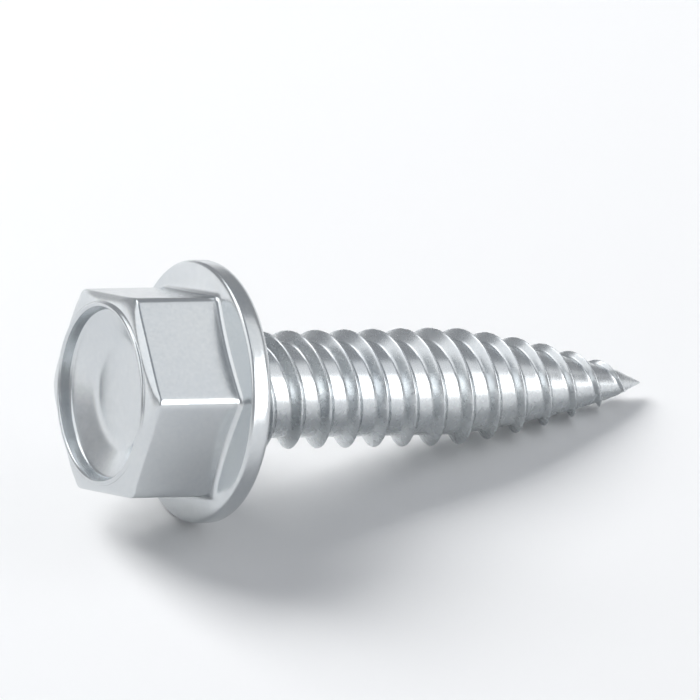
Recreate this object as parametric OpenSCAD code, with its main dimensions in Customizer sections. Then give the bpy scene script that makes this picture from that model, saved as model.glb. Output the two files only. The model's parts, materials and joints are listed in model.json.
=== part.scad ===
/* [Hexagon] */
// Width across the flats
across_flats = 8; // [7.6:0.1:8.4]
// Radius on the six upright edges
corner_r = 0.3; // [0.15:0.05:0.6]
// Height of the whole head over the bearing face
head_h = 5.15; // [4.4:0.05:6]
// Height of the bevel between the flats and the lip of the recess
bevel_h = 0.38; // [0.25:0.01:0.8]

/* [Recess] */
// Width of the recess inside its lip
recess_d = 7; // [6.6:0.1:7.2]
// Radius of the rounded lip
lip_r = 0.11; // [0.08:0.01:0.14]
// Depth of the steep wall under the lip
wall_depth = 0.55; // [0.4:0.05:0.75]
// Lean of the steep wall, in degrees
wall_lean = 10; // [4:1:20]
// Depth of the floor under the lip
recess_depth = 1.05; // [0.9:0.05:1.6]
// Width of the flat floor
floor_d = 4.2; // [3:0.1:5]

/* [Washer] */
// Width of the washer that is forged with the head
washer_d = 10.5; // [10:0.1:12]
// Thickness at the rim
washer_t = 1; // [0.8:0.05:1.3]
// Rise of the sloped top from the rim to the hexagon
washer_rise = 0.2; // [0.1:0.05:0.4]
// Radius on the edge next to the bearing face
rim_bearing_r = 0.4; // [0.2:0.05:0.5]
// Radius on the edge next to the hexagon
rim_top_r = 0.15; // [0.05:0.05:0.25]

/* [Shank] */
// Length from the bearing face to the point
length = 19.5; // [16:0.5:32]
// Width of the core between the threads
core_d = 3.85; // [3.5:0.05:4.1]
// Radius of the fillet under the bearing face
neck_r = 0.5; // [0.45:0.05:0.6]
// Length of the tapered part, the point included
taper_l = 8.7; // [6:0.1:11]
// How far the taper bulges past a straight line, as a share of its rise
taper_bulge = 0.54; // [0:0.02:0.6]
// Length of the straight cone at the very point
point_l = 1.1; // [0.8:0.1:1.6]
// Full angle of that cone
point_angle = 49; // [40:1:60]

/* [Thread] */
// Width over the thread
thread_d = 4.75; // [4.5:0.05:5]
// Distance that one turn drives the screw
lead = 2.58; // [2.4:0.02:3]
// Number of threads that run side by side
starts = 2; // [1:1:2]
// Width of a thread where it leaves the core
ridge_w = 0.68; // [0.6:0.02:0.9]
// Width of the rounded crest
crest_w = 0.12; // [0.08:0.02:0.3]
// Length over which the thread grows from the point to its full height
growth_l = 9; // [8:0.5:13]
// Length of the bare point below the thread
bare_l = 0.6; // [0.5:0.05:1.2]
// Distance from the bearing face to where the thread sinks into the core
run_out_at = 0.5; // [0.5:0.05:1]
// Length of the run-out there
run_out_l = 1.3; // [0.8:0.1:2]

/* [Lie] */
// Turn of the hexagon about the axis
hexagon_turn = -7.4; // [-30:0.2:30]
// Turn of the thread about the axis
thread_turn = 138.8; // [0:0.2:180]

/* [Hidden] */

// Fineness of the shapes that are made of facets
corner_steps = 5;
lip_steps = 72;
taper_steps = 12;
turn_steps = 32;
settle_steps = 16;

// Turn of the round body about the axis, so that a flat of its rim faces the ground
rim_turn = 2.5;

// Upright sizes of the head
bevel_base = head_h - bevel_h;
washer_top = washer_t + washer_rise;
lip_base = head_h - lip_r;

// Circle through the middle of the lip
lip_circle_r = recess_d / 2 + 0.6 * lip_r;

// Sizes of the shank and the thread
core_r = core_d / 2;
rim_r = washer_d / 2;
point_r = point_l * tan(point_angle / 2);
ridge_h = (thread_d - core_d) / 2;
crest_drop = 0.16 * ridge_h;
root_sink = 0.12;
seam = 0.2;
ring_count = ceil((length - run_out_at - bare_l) / lead * turn_steps);

// A number held between 0 and 1
function held(u) = min(max(u, 0), 1);

// Smooth step from 0 to 1
function ease(u) = let (v = held(u)) v * v * (3 - 2 * v);

// Radius of the core at a distance from the point
function core_at(d) = let (u = held((d - point_l) / (taper_l - point_l)))
    d < point_l ? point_r * d / point_l
    : point_r + (core_r - point_r) * (u + taper_bulge * u * (1 - u));

// Share of its full size that the thread has at a depth under the bearing face
function thread_size(depth) = sqrt(held((length - depth) / growth_l));

// Share of that size that has come out of the core, less than 1 near both ends
function come_out(depth) =
    ease((depth - run_out_at) / run_out_l) * ease((length - bare_l - depth) / (lead / 4));

// Depth under the bearing face of a ring of the thread
function ring_depth(i) = run_out_at + (length - bare_l - run_out_at) * i / ring_count;

// Section of the thread as [distance along the axis, height over the core]
function ridge_section(size, out) = let (
    sunk = root_sink / 2,
    top = (ridge_h + sunk) * out - sunk,
    flank = (ridge_w - crest_w) / 2 / (ridge_h - crest_drop),
    foot = ridge_w / 2 + flank * root_sink
) size * [
    [-foot, -root_sink],
    [-crest_w / 2, top - crest_drop * out],
    [0, top],
    [crest_w / 2, top - crest_drop * out],
    [foot, -root_sink]
];

// One ring of a thread: its section turned to its place on the helix
function ridge_ring(depth, start) = let (
    turn = thread_turn - 360 * depth / lead + 360 * start / starts
) [
    for (p = ridge_section(thread_size(depth), come_out(depth)))
        let (at = depth + p[0], r = core_at(length - at) + p[1])
            [r * cos(turn), r * sin(turn), -at]
];

function ridge_points(start) =
    [for (i = [0:ring_count]) each ridge_ring(ring_depth(i), start)];

// How low a point of the screw hangs when the axis dips by an angle
function hang(p, dip) = -p[2] * sin(dip) - p[0] * cos(dip);

// The same for the rounded edge of the washer and for the whole thread
function washer_hang(dip) =
    rim_bearing_r * (1 - sin(dip)) + (rim_r - rim_bearing_r) * cos(dip);
function thread_hang(points, dip) = max([for (p = points) hang(p, dip)]);

// Dip at which the washer and the thread both touch the ground
function settled(points, low, high, steps) = let (mid = (low + high) / 2)
    steps == 0 ? mid
    : washer_hang(mid) > thread_hang(points, mid) ? settled(points, mid, high, steps - 1)
    : settled(points, low, mid, steps - 1);

thread_points = [for (start = [0:starts - 1]) each ridge_points(start)];
dip = settled(concat(thread_points, [[0, 0, -length]]), 0, 45, settle_steps);
low_x = -lip_base * cos(dip) - lip_circle_r * sin(dip) - lip_r;
high_x = length * cos(dip);

// Hexagon with rounded corners and this width across its flats
module hexagon_outline() {
    centre_r = (across_flats / 2 - corner_r) / cos(30);
    polygon([
        for (corner = [0:5], step = [0:corner_steps])
            let (middle = 60 * corner, turn = middle + 60 * step / corner_steps - 30)
                centre_r * [cos(middle), sin(middle)] + corner_r * [cos(turn), sin(turn)]
    ]);
}

// Hexagon whose bevel closes onto the lip of the recess
module hexagon_block() {
    hull() {
        translate([0, 0, washer_t / 2])
            linear_extrude(bevel_base - washer_t / 2) rotate(hexagon_turn) hexagon_outline();
        translate([0, 0, washer_t])
            cylinder(h = lip_base - washer_t, r = lip_circle_r + lip_r / 2, $fn = lip_steps);
    }
}

module lip() {
    translate([0, 0, lip_base])
        rotate_extrude($fn = lip_steps)
            translate([lip_circle_r, 0]) circle(lip_r, $fn = 24);
}

// Dished hollow in the end of the head: steep wall, sloped bowl and flat floor
module recess() {
    bowl_r = recess_d / 2 - wall_depth * tan(wall_lean);
    rotate_extrude($fn = lip_steps)
        polygon([
            [0, head_h - recess_depth],
            [floor_d / 2, head_h - recess_depth],
            [bowl_r, head_h - wall_depth],
            [recess_d / 2, head_h],
            [recess_d / 2, head_h + seam],
            [0, head_h + seam]
        ]);
}

module washer_outline() {
    polygon([
        [0, 0],
        [rim_r - rim_bearing_r, 0],
        [rim_r, rim_bearing_r],
        [rim_r, washer_t - rim_top_r],
        [rim_r - rim_top_r, washer_t],
        [across_flats / 2, washer_top],
        [0, washer_top]
    ]);
    translate([rim_r - rim_bearing_r, rim_bearing_r]) circle(rim_bearing_r, $fn = 32);
    translate([rim_r - rim_top_r, washer_t - rim_top_r]) circle(rim_top_r, $fn = 32);
}

module neck_outline() {
    difference() {
        translate([core_r - neck_r, -neck_r]) square([2 * neck_r, neck_r + seam]);
        translate([core_r + neck_r, -neck_r]) circle(neck_r, $fn = 32);
    }
}

module shank_outline() {
    polygon([
        [0, seam],
        [core_r, seam],
        for (i = [taper_steps:-1:0])
            let (d = point_l + (taper_l - point_l) * i / taper_steps) [core_at(d), d - length],
        [0, -length]
    ]);
}

// Washer, neck and shank, round the axis and without the thread
module turned_body() {
    rotate(rim_turn) rotate_extrude($fn = 96) {
        washer_outline();
        neck_outline();
        shank_outline();
    }
}

// One thread swept down its helix, both its ends hidden in the core
module ridge(start) {
    points = ridge_points(start);
    sides = len(points) / (ring_count + 1);
    polyhedron(points, concat(
        [[for (j = [sides - 1:-1:0]) j]],
        [
            for (i = [0:ring_count - 1], j = [0:sides - 1])
                let (a = i * sides + j, b = i * sides + (j + 1) % sides)
                    each [[a, b, a + sides], [b, b + sides, a + sides]]
        ],
        [[for (j = [0:sides - 1]) ring_count * sides + j]]
    ));
}

// The screw upright on its axis, the bearing face at height 0 and the point down
module upright_screw() {
    difference() {
        union() {
            turned_body();
            hexagon_block();
            lip();
        }
        recess();
    }
    for (start = [0:starts - 1]) ridge(start);
}

// Lies on the washer's edge and the thread, over the middle of its shadow
module screw() {
    color("lightsteelblue")
        translate([-(low_x + high_x) / 2, 0, washer_hang(dip)])
            rotate([0, dip - 90, 0])
                upright_screw();
}

screw();
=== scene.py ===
import json
import math

import bpy
import numpy as np
from mathutils import Matrix, Vector


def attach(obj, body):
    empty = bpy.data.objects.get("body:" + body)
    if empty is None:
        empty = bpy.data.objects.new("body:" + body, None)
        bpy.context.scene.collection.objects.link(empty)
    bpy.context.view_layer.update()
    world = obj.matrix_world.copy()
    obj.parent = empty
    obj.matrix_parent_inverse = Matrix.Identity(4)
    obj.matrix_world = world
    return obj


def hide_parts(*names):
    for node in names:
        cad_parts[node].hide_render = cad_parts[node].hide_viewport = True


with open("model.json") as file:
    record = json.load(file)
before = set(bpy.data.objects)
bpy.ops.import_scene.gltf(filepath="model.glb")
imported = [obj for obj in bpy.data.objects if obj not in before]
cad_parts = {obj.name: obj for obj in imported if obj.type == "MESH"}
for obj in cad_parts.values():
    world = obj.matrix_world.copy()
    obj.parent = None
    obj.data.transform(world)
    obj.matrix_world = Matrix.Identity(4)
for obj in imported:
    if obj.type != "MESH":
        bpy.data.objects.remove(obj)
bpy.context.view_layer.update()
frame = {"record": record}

MM = 0.001

# Sizes of the screw in millimetres and degrees, the same as the solid's
FLATS = 8.0
HEAD_H, BEVEL_H = 5.15, 0.38
RECESS_R, LIP_R = 3.5, 0.11
WALL_DEPTH, WALL_LEAN = 0.55, 10
RECESS_DEPTH, FLOOR_R = 1.05, 2.1
RIM_R, WASHER_T, WASHER_RISE = 5.25, 1.0, 0.2
RIM_BEARING_R, RIM_TOP_R = 0.4, 0.15
LENGTH, CORE_R, NECK_R = 19.5, 1.925, 0.5
TAPER_L, TAPER_BULGE = 8.7, 0.54
POINT_L, POINT_ANGLE = 1.1, 49
LEAD, STARTS, RIDGE_W = 2.58, 2, 0.68
GROWTH_L, BARE_L = 9, 0.6
RUN_OUT_AT, RUN_OUT_L = 0.5, 1.3
HEXAGON_TURN, THREAD_TURN = -7.4, 138.8

# Sizes that differ a little from the solid's, in millimetres: the upright edges are softer, and
# the thread stands lower, so that its crests stay inside the solid's box
CORNER_R = 0.45
THREAD_R = 2.37

# Small forms that only the finished surface has, in millimetres
FOOT_FILLET = 0.2
BEVEL_EDGE = 0.09
BEVEL_BULGE = 0.06
WALL_FOOT = 0.1
BOWL_FOOT = 0.25
ROOT_SOFTNESS = 0.025
CREST_SOFTNESS = 0.07
TIP_R = 0.03

# Circle through the middle of the lip, and the one on which the bevel meets the lip
LIP_MIDDLE_R = RECESS_R + 0.6 * LIP_R
BEVEL_END_R = RECESS_R + 1.1 * LIP_R

# Fineness of the mesh
HALF_COLUMNS = 14
RIDGE_ROWS, ROOT_ROWS = 20, 8
CORNER_STEPS = 6
LIP_STEPS, RIM_TOP_STEPS, RIM_BEARING_STEPS, NECK_STEPS = 14, 5, 8, 5
TIP_STEPS = 5

# Places of the rings between the roundings, as shares of each stretch
FLOOR_RINGS = (0, 0.2, 0.45, 0.7)
BOWL_RINGS = (0.4, 0.55, 0.7)
WALL_RING = 0.6
BEVEL_RINGS = (0.82, 0.7, 0.56, 0.42, 0.3)
FLAT_RINGS = (0.25, 0.5, 0.75)
WASHER_TOP_RINGS = (0.6, 0.85)
BEARING_RINGS = (0.03, 0.3, 0.65, 0.97)

# Place on the bevel that gives its direction at the edge, as a share of it
BEVEL_BY_EDGE = 0.25

# Heights of the rings on the rim and radius of the first ring on the recess floor, in millimetres
RIM_RINGS = (0.75, 0.5)
FIRST_RING_R = 0.05

# Where the arc on the rim's upper edge starts, in degrees, so that it follows the sloped top
RIM_TOP_START = 80

# Roundings: the most of a stretch that one takes, how far outside it the next ring lies, as a
# multiple of it, and the shortest stretch that is divided by
MOST_OF_STRETCH = 0.49
OUTSIDE_ROUNDING = 1.4
SHORTEST_STRETCH = 1e-9

# Rows of the thread: the smallest size at which they are laid, how far they reach past the foot of
# the ridge and at most into a pitch, how they crowd at the crest, and their margin at both ends
SMALLEST_RIDGE = 0.15
RIDGE_REACH, MOST_OF_PITCH = 1.2, 0.46
ROW_CROWDING = 1.2
ROW_MARGIN = 0.02

# Key of the row that closes the shank at the point, after every other
LAST_KEY = 1e9

# Scale and detail of the noises in the plating
CLOUD_NOISE, SPECKLE_NOISE, GRAIN_NOISE, MARKS_NOISE = (260, 3), (6500, 2), (2600, 4), (800, 3)

# Noise values that count as its lowest and its highest
NOISE_LOW, NOISE_HIGH = 0.3, 0.7

# Rolling marks: how thin they are drawn, the level of the faintest, and where under the bearing
# face they fade in, in millimetres
MARKS_THINNING = 14
FAINTEST_MARK = 0.6
MARKS_START, MARKS_FULL = 0.3, 1.2

# Colours of the plating, and the shares of cloud and speckle in going from one to the other
DARKER_ZINC, LIGHTER_ZINC = (0.59, 0.62, 0.645, 1), (0.67, 0.69, 0.695, 1)
CLOUD_IN_TINT, SPECKLE_IN_TINT = 0.55, 0.45

# Roughness of the plating, and what the grain and the marks add to it
ROUGHNESS, GRAIN_ROUGHNESS, MARKS_ROUGHNESS = 0.195, 0.06, 0.06

# Relief: heights of speckle and marks beside the grain's, strength, and depth in millimetres
SPECKLE_RELIEF, MARKS_RELIEF = 0.35, 0.5
RELIEF_STRENGTH, RELIEF_DEPTH = 0.2, 0.004

# Floor: half its side in metres, colour, roughness and specular level
FLOOR_REACH = 0.6
FLOOR_COLOUR = (0.92, 0.92, 0.92, 1)
FLOOR_ROUGHNESS, FLOOR_SPECULAR = 0.9, 0.1

# Light of the studio from the horizon, at 0.5, to straight overhead, at 1
HORIZON_COLOUR, OVERHEAD_COLOUR = (0.95, 0.95, 0.95, 1), (0.36, 0.38, 0.41, 1)
SKY_LEVELS = ((0.575, 0.46), (0.675, 0.35))
SKY_GREEN, SKY_BLUE = 1.02, 1.06

# Lamps: name, direction, side in metres, brightness of the face, and whether the floor and the
# metal see it. The shadow comes from the back, so it falls where the lower faces mirror it.
LAMPS = (
    ("front_right", (0.53, -0.83, 0.2), 0.5, 2.9, False, True),
    ("right", (0.7, -0.25, 0.67), 0.3, 0.64, True, True),
    ("left", (-0.65, 0, 0.76), 0.56, 0.88, False, True),
    ("overhead", (-0.1, 0.35, 0.93), 0.35, 1.5, False, True),
    ("back", (-0.32, 0.64, 0.69), 0.3, 8.6, True, False),
)

# How far the lamps stand off, in metres
LAMP_DISTANCE = 0.5

# Where the photograph has the screw: place of the bearing face's middle and scale, in its pixels
SEAT_X, SEAT_Y = 212.7, 391.2
FRAME_SIZE = 700
PIXELS_PER_MM = 25.08
CAMERA_AZIMUTH, CAMERA_ELEVATION = -25.3, 30.9
CAMERA_DISTANCE, CLIP_START = 1.15, 0.01
SENSOR_WIDTH = 36

mounts = {m["name"]: m for m in frame["record"]["mounts"]}
axis = Vector(mounts["thread"]["axis"]).normalized()
seat = Vector(mounts["thread"]["pos_m"])
upward = Vector((-axis.z, 0, axis.x))
sideways = Vector((0, 1, 0))


def held(value):
    return np.clip(value, 0, 1)


def ease(value):
    v = held(value)
    return v * v * (3 - 2 * v)


class Ring:
    """A closed loop round the axis: height over the bearing face and radius in each column."""

    def __init__(self, height, radius):
        self.height = np.broadcast_to(np.asarray(height, float), ANGLES.shape).copy()
        self.radius = np.broadcast_to(np.asarray(radius, float), ANGLES.shape).copy()

    def toward(self, other, share):
        return Ring(
            self.height + (other.height - self.height) * share,
            self.radius + (other.radius - self.radius) * share,
        )

    def gap(self, other):
        return np.hypot(other.height - self.height, other.radius - self.radius)


def column_angles():
    """Angles of the columns in degrees, closer together at the six corners of the hexagon."""
    half = 30 * (np.arange(HALF_COLUMNS) / HALF_COLUMNS) ** 2
    sector = np.concatenate([[-30], -half[:0:-1], half])
    return np.concatenate([HEXAGON_TURN + 60 * k + sector for k in range(6)])


ANGLES = column_angles()


def hexagon_radius(apothem, corner_r):
    """Distance from the axis to a hexagon with rounded corners, in each column."""
    off = np.radians((ANGLES - HEXAGON_TURN + 30) % 60 - 30)
    middle = (apothem - corner_r) / math.cos(math.pi / 6)
    limit = math.atan2(corner_r / 2, middle + corner_r * math.cos(math.pi / 6))
    inside = np.maximum(corner_r**2 - (middle * np.sin(off)) ** 2, 0)
    arc = middle * np.cos(off) + np.sqrt(inside)
    flat = apothem / np.cos(math.pi / 6 - np.abs(off))
    return np.where(np.abs(off) < limit, arc, flat)


def arc_rings(height, radius, size, start, end, steps):
    """Rings along an arc round a point, between two angles counted from outward toward the head."""
    turns = np.radians(np.linspace(start, end, steps + 1))
    return [Ring(height + size * math.sin(t), radius + size * math.cos(t)) for t in turns]


def softened(before, corner, after, size):
    """Rings that round the corner between two straight stretches, with one more on each stretch."""
    back, ahead = (
        np.minimum(size / np.maximum(corner.gap(other), SHORTEST_STRETCH), MOST_OF_STRETCH)
        for other in (before, after)
    )
    rings = [corner.toward(before, back * OUTSIDE_ROUNDING)]
    for share in np.linspace(0, 1, CORNER_STEPS + 1):
        first = corner.toward(before, back * (1 - share))
        second = corner.toward(after, ahead * share)
        rings.append(first.toward(second, share))
    rings.append(corner.toward(after, ahead * OUTSIDE_ROUNDING))
    return rings


def recess_rings():
    """From the middle of the recess floor out to the inner side of the lip."""
    lean = math.radians(WALL_LEAN)
    floor = Ring(HEAD_H - RECESS_DEPTH, FLOOR_R)
    wall_top = Ring(
        HEAD_H - LIP_R + LIP_R * math.sin(lean), LIP_MIDDLE_R - LIP_R * math.cos(lean)
    )
    wall_foot = Ring(HEAD_H - WALL_DEPTH, RECESS_R - WALL_DEPTH * math.tan(lean))
    centre = Ring(HEAD_H - RECESS_DEPTH, FIRST_RING_R)
    rings = [centre.toward(floor, share) for share in FLOOR_RINGS]
    rings += softened(centre, floor, wall_foot, BOWL_FOOT)
    rings += [floor.toward(wall_foot, share) for share in BOWL_RINGS]
    rings += softened(floor, wall_foot, wall_top, WALL_FOOT)
    rings += [wall_foot.toward(wall_top, WALL_RING)]
    return rings


def lip_rings():
    return arc_rings(HEAD_H - LIP_R, LIP_MIDDLE_R, LIP_R, 180 - WALL_LEAN, 0, LIP_STEPS)


def bevel_ring(share):
    """The bevel closes from the flats, at 0, to the lip, at 1, and bulges most midway."""
    apothem = FLATS / 2 + (BEVEL_END_R - FLATS / 2) * share
    corner_r = CORNER_R + (BEVEL_END_R - CORNER_R) * share
    straight = HEAD_H - BEVEL_H + (BEVEL_H - LIP_R) * share
    bulge = 4 * BEVEL_BULGE * share * (1 - share)
    return Ring(straight + bulge, hexagon_radius(apothem, corner_r))


def washer_top(radius):
    slope = WASHER_RISE / (RIM_R - RIM_TOP_R - FLATS / 2)
    return WASHER_T + slope * (RIM_R - RIM_TOP_R - radius)


def hexagon_rings():
    """From the lip over the bevel and down the flats to the washer."""
    outline = hexagon_radius(FLATS / 2, CORNER_R)
    edge = bevel_ring(0)
    foot = Ring(washer_top(outline), outline)
    washer_edge = Ring(WASHER_T, RIM_R - RIM_TOP_R)
    rings = [bevel_ring(share) for share in BEVEL_RINGS]
    rings += softened(bevel_ring(BEVEL_BY_EDGE), edge, foot, BEVEL_EDGE)
    rings += [edge.toward(foot, share) for share in FLAT_RINGS]
    rings += softened(edge, foot, washer_edge, FOOT_FILLET)
    rings += [foot.toward(washer_edge, share) for share in WASHER_TOP_RINGS]
    return rings


def washer_rings():
    """Round the rim and over the bearing face to the shank."""
    rings = arc_rings(
        WASHER_T - RIM_TOP_R, RIM_R - RIM_TOP_R, RIM_TOP_R, RIM_TOP_START, 0, RIM_TOP_STEPS
    )
    rings += [Ring(height, RIM_R) for height in RIM_RINGS]
    rings += arc_rings(
        RIM_BEARING_R, RIM_R - RIM_BEARING_R, RIM_BEARING_R, 0, -90, RIM_BEARING_STEPS
    )
    neck = CORE_R + NECK_R
    flat = Ring(0, RIM_R - RIM_BEARING_R)
    inner = Ring(0, neck)
    rings += [flat.toward(inner, share) for share in BEARING_RINGS]
    rings += arc_rings(-NECK_R, neck, NECK_R, 90, 180, NECK_STEPS)
    return rings


def core_radius(depth):
    """Radius of the core at a depth under the bearing face."""
    left = LENGTH - depth
    point_r = POINT_L * math.tan(math.radians(POINT_ANGLE / 2))
    u = held((left - POINT_L) / (TAPER_L - POINT_L))
    tapered = point_r + (CORE_R - point_r) * (u + TAPER_BULGE * u * (1 - u))
    return np.where(left < POINT_L, point_r * left / POINT_L, tapered)


def thread_size(depth):
    return np.sqrt(held((LENGTH - depth) / GROWTH_L))


def come_out(depth):
    """Share of the thread's height that has come out of the core, less than 1 near both ends."""
    below_head = ease((depth - RUN_OUT_AT) / RUN_OUT_L)
    above_point = ease((LENGTH - BARE_L - depth) / (LEAD / 4))
    return below_head * above_point


def ridge_height(offset, crest_depth):
    """Height of the thread over the core at an offset from its crest."""
    size = np.maximum(thread_size(crest_depth), SMALLEST_RIDGE)
    height = THREAD_R - CORE_R
    steep = (height + CREST_SOFTNESS) / (RIDGE_W / 2)
    u = np.abs(offset) / size
    rounded = np.sqrt((steep * u) ** 2 + CREST_SOFTNESS**2) - CREST_SOFTNESS
    sunk = 2 * ROOT_SOFTNESS
    section = (height + sunk) * come_out(crest_depth) - sunk - rounded
    return size * (section + np.sqrt(section**2 + ROOT_SOFTNESS**2)) / 2


def ridge_offsets(crest_depth):
    """Offsets from the crest of a pitch's rows: most lie on the ridge, the rest on the root."""
    size = max(float(thread_size(crest_depth)), SMALLEST_RIDGE)
    pitch = LEAD / STARTS
    edge = min(RIDGE_REACH * RIDGE_W / 2 * size, MOST_OF_PITCH * pitch)
    on_ridge = np.linspace(-1, 1, RIDGE_ROWS + 1)[1:]
    ridge = edge * np.sign(on_ridge) * np.abs(on_ridge) ** ROW_CROWDING
    root = np.linspace(edge, pitch - edge, ROOT_ROWS + 1)[1:]
    return np.concatenate([ridge, root])


def shank_columns(first_depth, last_depth):
    """For each column, its rows as (key, depth, radius). Rows of one key lie along the helix."""
    pitch = LEAD / STARTS
    rows = RIDGE_ROWS + ROOT_ROWS
    columns = []
    for angle in ANGLES:
        start = (THREAD_TURN - angle) / 360 * LEAD
        found = []
        for turn in range(
            math.floor((first_depth - start) / pitch) - 1,
            math.ceil((last_depth - start) / pitch) + 1,
        ):
            crest = start + turn * pitch
            offsets = ridge_offsets(crest)
            depths = crest + offsets
            before = ridge_height(offsets, crest)
            after = ridge_height(offsets - pitch, crest + pitch)
            radii = core_radius(depths) + np.maximum(before, after)
            for row in range(rows):
                if first_depth + ROW_MARGIN < depths[row] < last_depth - ROW_MARGIN:
                    found.append((turn * rows + row, depths[row], radii[row]))
        columns.append(found)
    return columns


class Surface:
    """Collects the points and faces of the screw, ring by ring from the recess to the point."""

    def __init__(self):
        self.points = []
        self.faces = []

    def point(self, height, radius, angle):
        turn = math.radians(angle)
        place = upward * math.cos(turn) + sideways * math.sin(turn)
        self.points.append(seat - axis * (height * MM) + place * (radius * MM))
        return len(self.points) - 1

    def ring(self, ring):
        return [
            self.point(height, radius, angle)
            for height, radius, angle in zip(ring.height, ring.radius, ANGLES, strict=True)
        ]

    def fan(self, tip, loop):
        for j in range(len(loop)):
            self.faces.append((tip, loop[j], loop[(j + 1) % len(loop)]))

    def band(self, first, second):
        for j in range(len(first)):
            k = (j + 1) % len(first)
            self.faces.append((first[j], second[j], second[k], first[k]))

    def strip(self, left, right):
        """Fills the space between two columns, whose rows are (key, point) in order."""
        i = j = 0
        while i < len(left) - 1 or j < len(right) - 1:
            next_left = left[i + 1][0] if i < len(left) - 1 else math.inf
            next_right = right[j + 1][0] if j < len(right) - 1 else math.inf
            corners = [right[j][1], left[i][1]]
            step_left = next_left <= next_right and i < len(left) - 1
            step_right = next_right <= next_left and j < len(right) - 1
            if step_left:
                i += 1
                corners.append(left[i][1])
            if step_right:
                j += 1
                corners.append(right[j][1])
            self.faces.append(tuple(corners))


def build_screw():
    """The whole screw as one closed skin."""
    surface = Surface()
    rings = recess_rings() + lip_rings() + hexagon_rings() + washer_rings()
    loops = [surface.ring(ring) for ring in rings]
    surface.fan(surface.point(HEAD_H - RECESS_DEPTH, 0, 0), loops[0])
    for first, second in zip(loops[:-1], loops[1:], strict=True):
        surface.band(first, second)

    first_depth, last_depth = NECK_R, LENGTH - BARE_L
    end_loop = surface.ring(Ring(-last_depth, core_radius(last_depth)))
    columns = []
    for index, rows in enumerate(shank_columns(first_depth, last_depth)):
        column = [(-math.inf, loops[-1][index])]
        for key, depth, radius in rows:
            column.append((key, surface.point(-depth, radius, ANGLES[index])))
        columns.append(column + [(LAST_KEY, end_loop[index])])
    turn_keys = STARTS * (RIDGE_ROWS + ROOT_ROWS)
    for index, column in enumerate(columns):
        following = columns[(index + 1) % len(columns)]
        if index == len(columns) - 1:
            following = [
                (key + turn_keys if key < LAST_KEY else key, point) for key, point in following
            ]
        surface.strip(column, following)

    slope = math.radians(POINT_ANGLE / 2)
    tip_depth = LENGTH - TIP_R / math.sin(slope)
    tip_rings = [
        Ring(-depth, core_radius(depth))
        for depth in np.linspace(last_depth, tip_depth + TIP_R * math.sin(slope), TIP_STEPS + 1)[1:]
    ]
    tip_rings += [
        Ring(-tip_depth - TIP_R * math.sin(t), TIP_R * math.cos(t))
        for t in np.linspace(slope, math.pi / 2, TIP_STEPS + 1)[1:-1]
    ]
    last = end_loop
    for ring in tip_rings:
        loop = surface.ring(ring)
        surface.band(last, loop)
        last = loop
    surface.fan(surface.point(-tip_depth - TIP_R, 0, 0), last[::-1])

    mesh = bpy.data.meshes.new("screw_skin")
    mesh.from_pydata([tuple(p) for p in surface.points], [], surface.faces)
    mesh.validate()
    mesh.shade_smooth()
    mesh.update()
    skin = bpy.data.objects.new("screw_skin", mesh)
    bpy.context.scene.collection.objects.link(skin)
    return skin


def new_material(name):
    material = bpy.data.materials.new(name)
    material.use_nodes = True
    tree = material.node_tree
    return material, tree.nodes, tree.links, tree.nodes["Principled BSDF"]


def ranged(nodes, links, value, start, end, low=0):
    """Takes a value that runs from start to end to the range from low to 1."""
    node = nodes.new("ShaderNodeMapRange")
    node.inputs["From Min"].default_value = start
    node.inputs["From Max"].default_value = end
    node.inputs["To Min"].default_value = low
    links.new(value, node.inputs["Value"])
    return node.outputs["Result"]


def noise(nodes, links, source, scale_and_detail, low=0):
    """A noise from low to 1."""
    texture = nodes.new("ShaderNodeTexNoise")
    for name, value in zip(("Scale", "Detail"), scale_and_detail, strict=True):
        texture.inputs[name].default_value = value
    links.new(source, texture.inputs["Vector"])
    return ranged(nodes, links, texture.outputs["Fac"], NOISE_LOW, NOISE_HIGH, low)


def along_way(nodes, links, place, way):
    """How far a place lies along a direction."""
    node = nodes.new("ShaderNodeVectorMath")
    node.operation = "DOT_PRODUCT"
    node.inputs[1].default_value = way
    links.new(place, node.inputs[0])
    return node.outputs["Value"]


def combined(nodes, links, operation, first, second, third=None):
    """One arithmetic step. Each of its inputs is a number or another node's output."""
    node = nodes.new("ShaderNodeMath")
    node.operation = operation
    for socket, value in zip(node.inputs, (first, second, third), strict=True):
        if isinstance(value, bpy.types.NodeSocket):
            links.new(value, socket)
        elif value is not None:
            socket.default_value = value
    return node.outputs["Value"]


def rolling_marks(nodes, links, place):
    """Fine lines round the axis, which only the shank has."""
    depth = along_way(nodes, links, place, axis)
    drawn_out = nodes.new("ShaderNodeCombineXYZ")
    stretched = combined(nodes, links, "MULTIPLY", depth, MARKS_THINNING)
    links.new(stretched, drawn_out.inputs["X"])
    links.new(along_way(nodes, links, place, sideways), drawn_out.inputs["Y"])
    links.new(along_way(nodes, links, place, upward), drawn_out.inputs["Z"])
    lines = noise(nodes, links, drawn_out.outputs["Vector"], MARKS_NOISE, FAINTEST_MARK)
    start, full = (seat.dot(axis) + below * MM for below in (MARKS_START, MARKS_FULL))
    on_shank = ranged(nodes, links, depth, start, full)
    return combined(nodes, links, "MULTIPLY", lines, on_shank)


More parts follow.
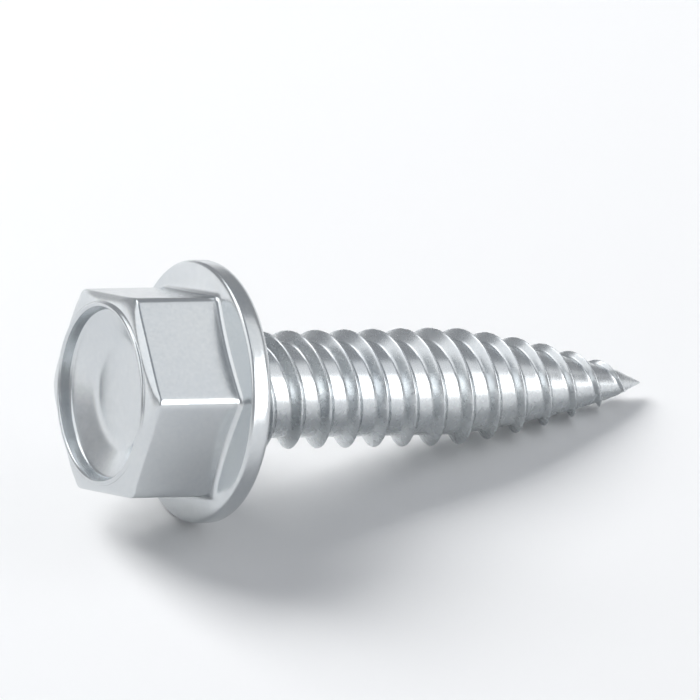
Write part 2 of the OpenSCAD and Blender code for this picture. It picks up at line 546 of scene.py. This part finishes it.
def zinc_plate():
    """Bright zinc plating: cool grey, a little cloudy, over forged grain and rolling marks."""
    material, nodes, links, shader = new_material("zinc_plate")
    place = nodes.new("ShaderNodeTexCoord").outputs["Object"]
    cloud = noise(nodes, links, place, CLOUD_NOISE)
    speckle = noise(nodes, links, place, SPECKLE_NOISE)
    grain = noise(nodes, links, place, GRAIN_NOISE)
    marks = rolling_marks(nodes, links, place)

    tint = nodes.new("ShaderNodeMix")
    tint.data_type = "RGBA"
    tint.inputs["A"].default_value = DARKER_ZINC
    tint.inputs["B"].default_value = LIGHTER_ZINC
    share = combined(nodes, links, "MULTIPLY", cloud, CLOUD_IN_TINT)
    share = combined(nodes, links, "MULTIPLY_ADD", speckle, SPECKLE_IN_TINT, share)
    links.new(share, tint.inputs["Factor"])
    links.new(tint.outputs["Result"], shader.inputs["Base Color"])

    roughness = combined(nodes, links, "MULTIPLY_ADD", grain, GRAIN_ROUGHNESS, ROUGHNESS)
    roughness = combined(nodes, links, "MULTIPLY_ADD", marks, MARKS_ROUGHNESS, roughness)
    links.new(roughness, shader.inputs["Roughness"])
    shader.inputs["Metallic"].default_value = 1

    bump = nodes.new("ShaderNodeBump")
    bump.inputs["Strength"].default_value = RELIEF_STRENGTH
    bump.inputs["Distance"].default_value = RELIEF_DEPTH * MM
    relief = combined(nodes, links, "MULTIPLY_ADD", speckle, SPECKLE_RELIEF, grain)
    relief = combined(nodes, links, "MULTIPLY_ADD", marks, MARKS_RELIEF, relief)
    links.new(relief, bump.inputs["Height"])
    links.new(bump.outputs["Normal"], shader.inputs["Normal"])
    return material


def floor_paint():
    material, _, _, shader = new_material("floor")
    shader.inputs["Base Color"].default_value = FLOOR_COLOUR
    shader.inputs["Roughness"].default_value = FLOOR_ROUGHNESS
    shader.inputs["Specular IOR Level"].default_value = FLOOR_SPECULAR
    return material


def build_floor():
    mesh = bpy.data.meshes.new("floor")
    signs = ((-1, -1), (1, -1), (1, 1), (-1, 1))
    corners = [(x * FLOOR_REACH, y * FLOOR_REACH, 0) for x, y in signs]
    mesh.from_pydata(corners, [], [(0, 1, 2, 3)])
    floor = bpy.data.objects.new("floor", mesh)
    bpy.context.scene.collection.objects.link(floor)
    mesh.materials.append(floor_paint())


def build_camera():
    """A long lens from the photograph's side, with the bearing face where the photograph has it."""
    azimuth, elevation = math.radians(CAMERA_AZIMUTH), math.radians(CAMERA_ELEVATION)
    back = Vector(
        (
            math.sin(azimuth) * math.cos(elevation),
            -math.cos(azimuth) * math.cos(elevation),
            math.sin(elevation),
        )
    )
    right = Vector((math.cos(azimuth), math.sin(azimuth), 0))
    up = back.cross(right)
    scale = MM / PIXELS_PER_MM
    middle = seat + right * ((FRAME_SIZE / 2 - SEAT_X) * scale)
    middle += up * ((SEAT_Y - FRAME_SIZE / 2) * scale)
    data = bpy.data.cameras.new("camera")
    data.sensor_width = SENSOR_WIDTH
    data.lens = PIXELS_PER_MM / MM * SENSOR_WIDTH * CAMERA_DISTANCE / FRAME_SIZE
    data.clip_start = CLIP_START
    camera = bpy.data.objects.new("camera", data)
    bpy.context.scene.collection.objects.link(camera)
    turn = Matrix((right, up, back)).transposed()
    camera.matrix_world = Matrix.Translation(middle + back * CAMERA_DISTANCE) @ turn.to_4x4()
    bpy.context.scene.camera = camera


def softbox(name, direction, side, brightness, on_floor, on_metal):
    """A square lamp that faces the screw from a direction."""
    data = bpy.data.lights.new(name, "AREA")
    data.shape = "SQUARE"
    data.size = side
    data.energy = brightness * math.pi * side * side
    lamp = bpy.data.objects.new(name, data)
    bpy.context.scene.collection.objects.link(lamp)
    away = Vector(direction).normalized()
    lamp.location = away * LAMP_DISTANCE
    lamp.rotation_euler = away.to_track_quat("Z", "Y").to_euler()
    lamp.visible_diffuse = on_floor
    lamp.visible_glossy = on_metal


def build_world():
    """A pale studio: brightest along the horizon and dimmer overhead."""
    world = bpy.data.worlds.new("studio")
    bpy.context.scene.world = world
    world.use_nodes = True
    nodes, links = world.node_tree.nodes, world.node_tree.links
    shade = nodes.new("ShaderNodeValToRGB")
    ramp = shade.color_ramp.elements
    ramp[0].position, ramp[0].color = 0.5, HORIZON_COLOUR
    ramp[1].position, ramp[1].color = 1, OVERHEAD_COLOUR
    for position, level in SKY_LEVELS:
        ramp.new(position).color = (level, SKY_GREEN * level, SKY_BLUE * level, 1)
    parts = nodes.new("ShaderNodeSeparateXYZ")
    links.new(nodes.new("ShaderNodeTexCoord").outputs["Generated"], parts.inputs["Vector"])
    height = combined(nodes, links, "MULTIPLY_ADD", parts.outputs["Z"], 0.5, 0.5)
    links.new(height, shade.inputs["Fac"])
    links.new(shade.outputs["Color"], nodes["Background"].inputs["Color"])


build_camera()
build_floor()
build_world()
for lamp in LAMPS:
    softbox(*lamp)

skin = build_screw()
skin.data.materials.append(zinc_plate())
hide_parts("screw")
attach(skin, "root")

bpy.context.scene.view_settings.view_transform = "Standard"
